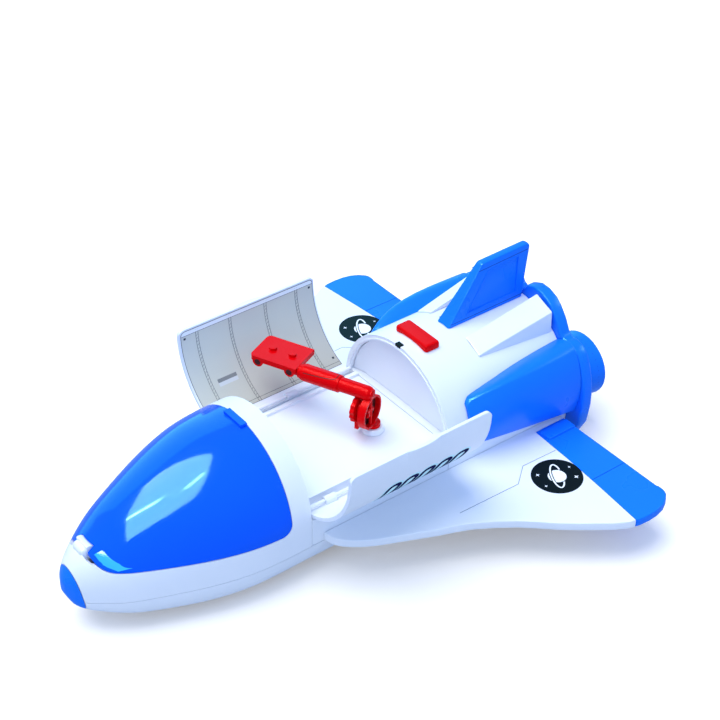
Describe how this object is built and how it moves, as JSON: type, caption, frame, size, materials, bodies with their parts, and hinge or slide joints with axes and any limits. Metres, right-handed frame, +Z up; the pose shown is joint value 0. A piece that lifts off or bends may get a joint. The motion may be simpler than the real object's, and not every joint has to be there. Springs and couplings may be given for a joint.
{
  "type": "toy space shuttle",
  "caption": "Toy space shuttle with swept wings, a hinged canopy, an open cargo bay with curved doors, a crane arm with a foot plate, a fin, tail nozzles and small wheels.",
  "frame": {"origin": "on the floor under the middle of the model's length and width", "axes": "+Z up, nose toward -Y, port side toward +X"},
  "size_m": [0.2832, 0.3432, 0.1192],
  "materials": {
    "white_plastic": "smooth moulded",
    "blue_plastic": "smooth moulded",
    "canopy_plastic": "polished, slightly translucent",
    "red_plastic": "smooth moulded",
    "grey_plastic": "fine texture",
    "dark_plastic": "fine texture",
    "lamp_plastic": "clear tinted lens",
    "axle_steel": "drawn wire"
  },
  "bodies": {
    "airframe": {"lower_hull": "white_plastic", "nose_upper_shell": "white_plastic", "nose_cap": "blue_plastic", "canopy_hinge_block": "white_plastic", "cockpit_seat": "grey_plastic", "cockpit_console": "grey_plastic", "cargo_deck": "white_plastic", "front_bulkhead": "white_plastic", "rear_bulkhead": "white_plastic", "rear_body": "white_plastic", "sound_button": "red_plastic", "port_hinge_pin": "white_plastic", "starboard_hinge_pin": "white_plastic", "port_wing": "white_plastic", "starboard_wing": "white_plastic", "port_elevon": "blue_plastic", "starboard_elevon": "blue_plastic", "fin": "blue_plastic", "port_pod": "white_plastic", "starboard_pod": "white_plastic", "port_side_panel": "blue_plastic", "starboard_side_panel": "blue_plastic", "tail_ring": "blue_plastic", "tail_plate": "white_plastic", "port_nozzle": "blue_plastic", "starboard_nozzle": "blue_plastic", "port_engine_lamp": "lamp_plastic", "starboard_engine_lamp": "lamp_plastic", "arm_boss": "white_plastic", "nose_wheels_axle": "axle_steel", "port_main_wheel_axle": "axle_steel", "starboard_main_wheel_axle": "axle_steel"},
    "canopy_lid": {"canopy": "canopy_plastic", "canopy_clasp": "canopy_plastic"},
    "port_bay_door": {"port_door": "white_plastic"},
    "starboard_bay_door": {"starboard_door": "white_plastic"},
    "turret": {"arm_turret": "red_plastic"},
    "boom": {"arm_boom": "red_plastic"},
    "plate": {"foot_plate": "red_plastic"},
    "nose_wheel_pair": {"nose_wheels": "dark_plastic"},
    "port_wheel": {"port_main_wheel": "dark_plastic"},
    "starboard_wheel": {"starboard_main_wheel": "dark_plastic"}
  },
  "joints": [
    {"name": "canopy_hinge", "type": "hinge", "parent": "airframe", "child": "canopy_lid", "pos_m": [0, -0.157, 0.048], "axis": [1, 0, 0], "range_deg": [0, 62]},
    {"name": "port_door_hinge", "type": "hinge", "parent": "airframe", "child": "port_bay_door", "pos_m": [0.0424, 0, 0.0456], "axis": [0, -1, 0], "range_deg": [0, 85.3]},
    {"name": "starboard_door_hinge", "type": "hinge", "parent": "airframe", "child": "starboard_bay_door", "pos_m": [-0.0424, 0, 0.0456], "axis": [0, 1, 0], "range_deg": [0, 85.3]},
    {"name": "arm_swivel", "type": "hinge", "parent": "airframe", "child": "turret", "pos_m": [0.0096, 0.022, 0.0481], "axis": [0, 0, 1], "range_deg": [0, 65.8]},
    {"name": "arm_shoulder", "type": "hinge", "parent": "turret", "child": "boom", "pos_m": [0.0094, 0.0162, 0.0614], "axis": [-0.9121, -0.4099, 0], "range_deg": [-15, 15]},
    {"name": "arm_wrist", "type": "hinge", "parent": "boom", "child": "plate", "pos_m": [-0.028, -0.00061, 0.0734], "axis": [-0.9121, -0.4099, 0], "range_deg": [-10, 30]},
    {"name": "nose_wheel_spin", "type": "hinge", "parent": "airframe", "child": "nose_wheel_pair", "pos_m": [0, -0.104, 0.0064], "axis": [1, 0, 0], "continuous": true},
    {"name": "port_wheel_spin", "type": "hinge", "parent": "airframe", "child": "port_wheel", "pos_m": [0.027, 0.082, 0.0064], "axis": [1, 0, 0], "continuous": true},
    {"name": "starboard_wheel_spin", "type": "hinge", "parent": "airframe", "child": "starboard_wheel", "pos_m": [-0.027, 0.082, 0.0064], "axis": [1, 0, 0], "continuous": true}
  ],
  "couplings": [
    {"joint": "arm_swivel", "follows": "starboard_door_hinge", "ratio": 0.7714}
  ]
}
